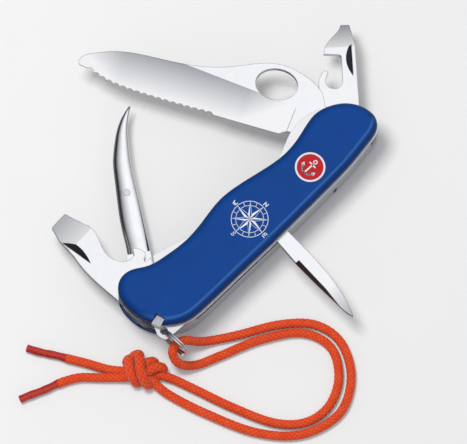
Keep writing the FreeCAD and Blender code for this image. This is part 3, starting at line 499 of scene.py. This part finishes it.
def make_badge():
    """A pale rim and a plain anchor standing on the enamel."""
    low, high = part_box("badge")
    centre = ((low.x + high.x) / 2 / MM, (low.y + high.y) / 2 / MM)
    radius = (high.x - low.x) / 2 / MM
    sheet = Sheet(high.z / MM, RELIEF)
    sheet.ring(centre, radius - BADGE_RIM / 2, BADGE_RIM)

    def at(x, y):
        """x to the right and y up, for an anchor whose top is towards +X."""
        return (centre[0] + y, centre[1] - x)

    shank, stock = (at(0, 1.7), at(0, -2.9)), (at(-1.35, 1.15), at(1.35, 1.15))
    sheet.stroke(*shank, 0.62)
    sheet.stroke(*stock, 0.55)
    sheet.ring(at(0, 2.55), 0.62, 0.42, 32)
    turns = [math.radians(angle) for angle in range(200, 341, 14)]
    sheet.chain([at(ARM_RADIUS * math.cos(turn), ARM_MIDDLE + ARM_RADIUS * math.sin(turn))
                 for turn in turns], 0.6)
    for side in (-1, 1):
        sheet.shape([at(side * 2.9, 0.0), at(side * 1.7, -1.0), at(side * 3.1, -1.5)])
    item = sheet.piece("badge_anchor", steel("badge_metal", (226, 226, 232), 0.2, edge=0.05), "handle")


# ---------------------------------------------------------------- cord

CORD_RADIUS = 1.6
CORD_STEP = 0.28
CORD_SIDES = 48
KNOT_RADIUS = 1.75
KNOT_MIDDLE = (-64.5, -12.6)
# Points within KNOT_REACH of the knot's middle are drawn in; the effect fades out over KNOT_FADE.
KNOT_SHRINK = 0.85
KNOT_REACH = 7.0
KNOT_FADE = 4.0
# The middle of the cord. First the loop, which is highest where it passes through the split ring.
LOOP = [
    (-58.2, -21.6, 1.8), (-55.2, -29.0, 1.65), (-49.5, -43.4, 1.65), (-42.5, -57.2, 1.65),
    (-34.0, -64.6, 1.65), (-24.1, -65.7, 1.65), (-14.6, -60.4, 1.65), (-9.4, -50.5, 1.65),
    (-13.4, -39.8, 1.65), (-26.0, -31.7, 1.65), (-40.0, -26.6, 1.65), (-48.8, -23.3, 2.2),
    (-53.4, -19.7, 6.2), (-53.3, -15.9, 9.8), (-50.5, -14.6, 11.1), (-46.8, -15.2, 9.2),
    (-42.8, -18.0, 4.4), (-38.4, -20.6, 1.9), (-30.5, -25.2, 1.65), (-17.0, -32.4, 1.65),
    (-7.8, -41.0, 1.65), (-5.6, -52.0, 1.65), (-11.6, -63.6, 1.65), (-23.4, -70.2, 1.65),
    (-38.1, -66.8, 1.65), (-49.6, -55.4, 1.65), (-58.0, -38.6, 1.65), (-63.0, -25.0, 1.7),
]
# From each leg of the loop: through the knot's heart, over the top, under everything to the right-hand
# lobe, back under both turns and out to the cord's end.
LOWER_PASS = [
    (-64.2, -18.6, 2.6), (-65.0, -14.8, 3.4), (-65.8, -10.5, 3.4), (-65.5, -6.5, 2.4),
    (-63.0, -5.2, 2.6), (-61.0, -6.3, 4.4), (-62.6, -8.5, 6.6), (-65.2, -11.8, 7.6),
    (-66.7, -15.0, 6.8), (-67.0, -17.6, 4.4), (-66.2, -18.2, 2.2), (-63.6, -17.6, 1.6),
    (-60.4, -17.6, 1.8), (-58.0, -17.4, 2.8), (-57.9, -16.4, 4.4), (-59.4, -15.4, 5.3),
    (-61.6, -14.6, 5.4), (-63.8, -14.0, 4.8), (-66.6, -12.4, 3.8), (-69.5, -10.4, 2.8),
    (-71.5, -8.9, 2.2), (-76.3, -4.3, 1.65), (-82.0, 1.0, 1.65), (-86.9, 3.7, 1.65),
    (-89.5, 4.7, 1.65),
]
UPPER_PASS = [
    (-60.9, -16.7, 2.6), (-62.7, -13.4, 3.2), (-64.8, -9.4, 3.0), (-67.0, -7.1, 2.4),
    (-66.5, -5.2, 2.8), (-65.2, -5.2, 4.2), (-67.0, -7.2, 5.8), (-68.7, -9.8, 6.2),
    (-69.6, -12.5, 5.0), (-69.3, -14.3, 2.6), (-66.1, -14.5, 1.6), (-61.6, -14.2, 1.6),
    (-58.6, -13.4, 2.2), (-58.6, -12.2, 3.4), (-60.4, -11.4, 4.2), (-62.3, -10.8, 4.2),
    (-64.6, -9.8, 3.6), (-67.8, -8.5, 2.8), (-69.8, -7.0, 2.2), (-72.8, -3.4, 1.65),
    (-76.7, 3.0, 1.65), (-81.0, 9.6, 1.65),
]


def smooth_line(points, step):
    """Points spaced evenly along a Catmull-Rom line through the given ones."""
    points = np.array(points, float)
    ends = np.vstack([2 * points[0] - points[1], points, 2 * points[-1] - points[-2]])
    share = np.linspace(0, 1, 24, endpoint=False)[:, None]
    dense = []
    for a, b, c, d in zip(ends, ends[1:], ends[2:], ends[3:]):
        dense.append(0.5 * (2 * b + (c - a) * share + (2 * a - 5 * b + 4 * c - d) * share ** 2
                            + (3 * b - a - 3 * c + d) * share ** 3))
    dense = np.vstack(dense + [points[-1:]])
    travelled = distance_along(dense)
    spots = np.linspace(0, travelled[-1], int(travelled[-1] / step) + 1)
    return np.stack([np.interp(spots, travelled, dense[:, axis]) for axis in range(3)], axis=1)


def distance_along(line):
    return np.concatenate([[0], np.cumsum(np.linalg.norm(np.diff(line, axis=0), axis=1))])


def frames_along(line):
    """Two unit vectors across the line at each point, carried along without twisting."""
    tangent = np.gradient(line, axis=0)
    tangent /= np.linalg.norm(tangent, axis=1)[:, None]
    side = np.cross(tangent[0], (0, 0, 1.0))
    sides = []
    for direction in tangent:
        side = side - direction * (side @ direction)
        side /= np.linalg.norm(side)
        sides.append(side)
    sides = np.array(sides)
    return sides, np.cross(tangent, sides)


# The braid: yarns each way round, millimetres from one crossing to the next, how far the yarns stand
# out, and how much lower one lies where it passes under another.
YARNS = 6
YARN_RISE = 1.8
YARN_RELIEF = 0.20
YARN_DIVE = 0.6
# The height at which the cord has its stated radius, and the height at the middle of its ends.
YARN_MIDDLE = 0.6
END_HEIGHT = 0.3


def braid(turn, travelled):
    """Height from 0 to 1 of a round braid: two sets of yarns that cross over and under in turn."""
    right = YARNS * turn + travelled / YARN_RISE
    left = YARNS * turn - travelled / YARN_RISE
    lift_right = np.cos(np.pi * (left - 0.5)) * (-1.0) ** np.floor(right)
    lift_left = -np.cos(np.pi * (right - 0.5)) * (-1.0) ** np.floor(left)
    high = np.maximum(np.sin(np.pi * (right % 1)) * (1 + YARN_DIVE * lift_right),
                      np.sin(np.pi * (left % 1)) * (1 + YARN_DIVE * lift_left))
    return np.clip(high / (1 + YARN_DIVE), 0, 1)


def tube(name, line, radius, around, relief=None, settle=None):
    """A closed tube along a line, with one radius per point.

    relief gives its surface height from 0 to 1, and settle moves its surface points.
    """
    side, up = frames_along(line)
    count = len(line)
    turns = np.arange(around) / around
    travelled = distance_along(line)
    height = relief(turns[None, :], travelled[:, None]) if relief else np.ones((count, around))
    reach = radius[:, None] + (YARN_RELIEF * (height - YARN_MIDDLE) if relief else 0.0)
    angle = 2 * np.pi * turns[None, :]
    ring = side[:, None, :] * np.cos(angle)[..., None] + up[:, None, :] * np.sin(angle)[..., None]
    points = line[:, None, :] + ring * reach[..., None]
    if settle:
        points = settle(points)
    points = np.vstack([points.reshape(-1, 3), line[:1], line[-1:]])
    faces = []
    for row in range(count - 1):
        for spot in range(around):
            after = (spot + 1) % around
            here, next_row = row * around, (row + 1) * around
            faces.append((here + spot, here + after, next_row + after, next_row + spot))
    last = (count - 1) * around
    for spot in range(around):
        after = (spot + 1) % around
        faces.append((after, spot, count * around))
        faces.append((last + spot, last + after, count * around + 1))
    mesh = bpy.data.meshes.new(name)
    mesh.from_pydata((points * MM).tolist(), [], faces)
    mesh.polygons.foreach_set("use_smooth", [True] * len(faces))
    heights = np.append(height.ravel(), [END_HEIGHT, END_HEIGHT]).astype(np.float32)
    mesh.attributes.new("yarn_height", "FLOAT", "POINT").data.foreach_set("value", heights)
    add_uv(mesh, turns, travelled, around, count)
    item = bpy.data.objects.new(name, mesh)
    bpy.context.scene.collection.objects.link(item)
    return item


def add_uv(mesh, turns, travelled, around, count):
    """U runs along the cord in millimetres, V once round it."""
    u = np.append(np.repeat(travelled, around), [travelled[0], travelled[-1]])
    v = np.append(np.tile(turns, count), [0, 0])
    corners = np.zeros(len(mesh.loops), np.int32)
    mesh.loops.foreach_get("vertex_index", corners)
    spots = np.stack([u[corners], v[corners]], axis=1).astype(np.float32)
    mesh.uv_layers.new(name="along").data.foreach_set("uv", spots.ravel())


def tightened(point):
    """Draws the knot's points towards its middle; points further off stay where they are."""
    offset = np.array(point[:2]) - KNOT_MIDDLE
    loose = np.clip((np.linalg.norm(offset) - KNOT_REACH) / KNOT_FADE, 0, 1)
    x, y = KNOT_MIDDLE + offset * (KNOT_SHRINK + (1 - KNOT_SHRINK) * loose)
    return (x, y, point[2])


def make_cord():
    """One cord from end to end: end, knot, round the loop, knot, end. It is fuller in the knot."""
    points = [tightened(point) for point in UPPER_PASS[::-1] + LOOP + LOWER_PASS]
    line = smooth_line(points, CORD_STEP)
    # 1 up to 3.6 mm from the knot's middle, and 0 from 9.6 mm.
    near = np.clip(1.6 - np.linalg.norm(line[:, :2] - KNOT_MIDDLE, axis=1) / 6.0, 0, 1)
    radius = CORD_RADIUS + (KNOT_RADIUS - CORD_RADIUS) * near * near * (3 - 2 * near)
    cord = tube("braided_cord", line, radius, CORD_SIDES, braid, settle=rest_on_floor)
    cord.data.materials.append(cord_look())
    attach(cord, "lanyard")
    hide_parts("lanyard_cord")
    return line


# Below the height CONTACT the cord's surface is squeezed to SQUEEZE of its depth.
CONTACT = 0.12
SQUEEZE = 0.15


def rest_on_floor(points):
    """The cord flattens a little where it lies on the ground."""
    height = points[..., 2]
    flattened = np.where(height < CONTACT, CONTACT + SQUEEZE * (height - CONTACT), height)
    return np.concatenate([points[..., :2], flattened[..., None]], axis=-1)


SLEEVE_RADIUS = 1.38
SLEEVE_LENGTH = 14.4
SLEEVE_OVERLAP = 0.8
SLEEVE_SIDES = 40
# How far a sleeve strays sideways, how much its radius waves, how much wider it is where it grips the
# cord, and how much its cut end is drawn in.
SWAY = 0.12
RIPPLE = 0.05
MOUTH = 0.10
CUT_END = 0.30


def make_sleeves(line):
    """Shrunk plastic sleeves: slimmer than the cord, a little uneven, with a cut end."""
    material = sleeve_look()
    share = np.linspace(0, 1, 80)
    mouth = MOUTH * np.exp(-(share * 16.0) ** 2)
    closing = CUT_END * np.clip((share - 0.985) / 0.015, 0, 1) ** 2
    for number, (end, before) in enumerate(((line[0], line[6]), (line[-1], line[-7]))):
        along = (end - before) / np.linalg.norm(end - before)
        along[2] = 0.0
        start = end - along * SLEEVE_OVERLAP
        path = start + share[:, None] * along * (SLEEVE_LENGTH + SLEEVE_OVERLAP)
        sway = np.cross(along, (0, 0, 1.0)) * SWAY
        path += np.sin(share * 7.0 + number * 2.0)[:, None] * sway
        radius = SLEEVE_RADIUS + mouth - closing + RIPPLE * np.sin(share * 19.0 + number)
        sleeve = tube(f"cord_sleeve_{number + 1}", path, radius, SLEEVE_SIDES)
        sleeve.data.materials.append(material)
        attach(sleeve, "lanyard")
    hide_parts("cord_sleeves")


# ---------------------------------------------------------------- floor, light and camera

FLOOR_LEVEL = -0.05 * MM
FLOOR_SIZE = 5.0


def make_floor():
    mesh = bpy.data.meshes.new("floor")
    half, level = FLOOR_SIZE / 2, FLOOR_LEVEL
    mesh.from_pydata([(-half, -half, level), (half, -half, level), (half, half, level),
                      (-half, half, level)], [], [(0, 1, 2, 3)])
    mesh.materials.append(floor_look())
    floor = bpy.data.objects.new("floor", mesh)
    bpy.context.scene.collection.objects.link(floor)


# What mirrors see, from the horizon at 0 to overhead at 1, and how far overhead leans to the right.
CEILING = ((0.0, 0.03), (0.22, 0.09), (0.45, 0.34), (0.70, 0.62), (0.90, 0.94), (1.0, 1.14))
CEILING_LEAN = 0.40
# What lights everything else, and what the camera sees behind the floor.
ROOM_LIGHT = 0.38
ROOM_SEEN = 0.84
# A trace of blue in the light.
COOL = 1.01


def make_world():
    """A pale room that lights evenly.

    Mirrors see a bright ceiling that falls away to a dark horizon, sooner on the left of the page
    than on the right.
    """
    world = bpy.data.worlds.new("studio")
    bpy.context.scene.world = world
    world.use_nodes = True
    tree = world.node_tree
    tree.nodes.clear()
    add, join = tree.nodes.new, tree.links.new
    direction = add("ShaderNodeTexCoord").outputs["Generated"]
    height = add("ShaderNodeVectorMath")
    height.operation = "DOT_PRODUCT"
    height.inputs[1].default_value = Vector((0, 0, 1)) + ACROSS * CEILING_LEAN
    join(direction, height.inputs[0])
    ramp = add("ShaderNodeValToRGB")
    join(height.outputs["Value"], ramp.inputs["Fac"])
    stops = ramp.color_ramp.elements
    for place, value in CEILING[1:-1]:
        stops.new(place)
    for stop, (place, value) in zip(stops, CEILING):
        stop.position, stop.color = place, (value, value, value * COOL, 1)
    ceiling, even, seen = (add("ShaderNodeBackground") for part in range(3))
    join(ramp.outputs["Color"], ceiling.inputs["Color"])
    even.inputs["Color"].default_value = (ROOM_LIGHT, ROOM_LIGHT, ROOM_LIGHT * COOL, 1)
    seen.inputs["Color"].default_value = (ROOM_SEEN, ROOM_SEEN, ROOM_SEEN, 1)
    path = add("ShaderNodeLightPath")
    mirror, camera = add("ShaderNodeMixShader"), add("ShaderNodeMixShader")
    join(path.outputs["Is Glossy Ray"], mirror.inputs[0])
    join(even.outputs[0], mirror.inputs[1])
    join(ceiling.outputs[0], mirror.inputs[2])
    join(path.outputs["Is Camera Ray"], camera.inputs[0])
    join(mirror.outputs[0], camera.inputs[1])
    join(seen.outputs[0], camera.inputs[2])
    join(camera.outputs[0], add("ShaderNodeOutputWorld").inputs["Surface"])


CAMERA_TARGET = Vector((-7.0, 3.0, 20.0)) * MM
CAMERA_LENS = 600.0
CAMERA_SENSOR = 36.0
CAMERA_CLIP = (0.05, 20.0)
FRAME_WIDTH = 164.4 * MM
KEY_DIRECTION = UP_PAGE * 0.14 - ACROSS * 0.22 + Vector((0, 0, 1.0))
KEY_DISTANCE = 0.9
KEY_SIZE = 0.26
KEY_WATTS = 4.6


def make_key_light():
    """A square soft light, high to the upper left of the page, that mirrors don't see."""
    data = bpy.data.lights.new("key_light", "AREA")
    data.shape, data.size, data.energy = "SQUARE", KEY_SIZE, KEY_WATTS
    light = bpy.data.objects.new("key_light", data)
    direction = KEY_DIRECTION.normalized()
    light.location = CAMERA_TARGET + direction * KEY_DISTANCE
    light.rotation_euler = direction.to_track_quat("Z", "Y").to_euler()
    light.visible_glossy = False
    bpy.context.scene.collection.objects.link(light)


def make_camera():
    data = bpy.data.cameras.new("camera")
    data.lens, data.sensor_width = CAMERA_LENS, CAMERA_SENSOR
    distance = FRAME_WIDTH * CAMERA_LENS / CAMERA_SENSOR
    data.clip_start, data.clip_end = CAMERA_CLIP
    camera = bpy.data.objects.new("camera", data)
    back = -UP_PAGE * math.sin(CAMERA_TILT) + Vector((0, 0, math.cos(CAMERA_TILT)))
    up = UP_PAGE * math.cos(CAMERA_TILT) + Vector((0, 0, math.sin(CAMERA_TILT)))
    facing = Matrix((ACROSS, up, back)).transposed().to_4x4()
    camera.matrix_world = Matrix.Translation(CAMERA_TARGET + back * distance) @ facing
    bpy.context.scene.collection.objects.link(camera)
    bpy.context.scene.camera = camera
    bpy.context.scene.view_settings.view_transform = "Standard"


# ---------------------------------------------------------------- build

paint_frame()
make_compass()
make_badge()
cord_line = make_cord()
make_sleeves(cord_line)
make_floor()
make_world()
make_key_light()
make_camera()
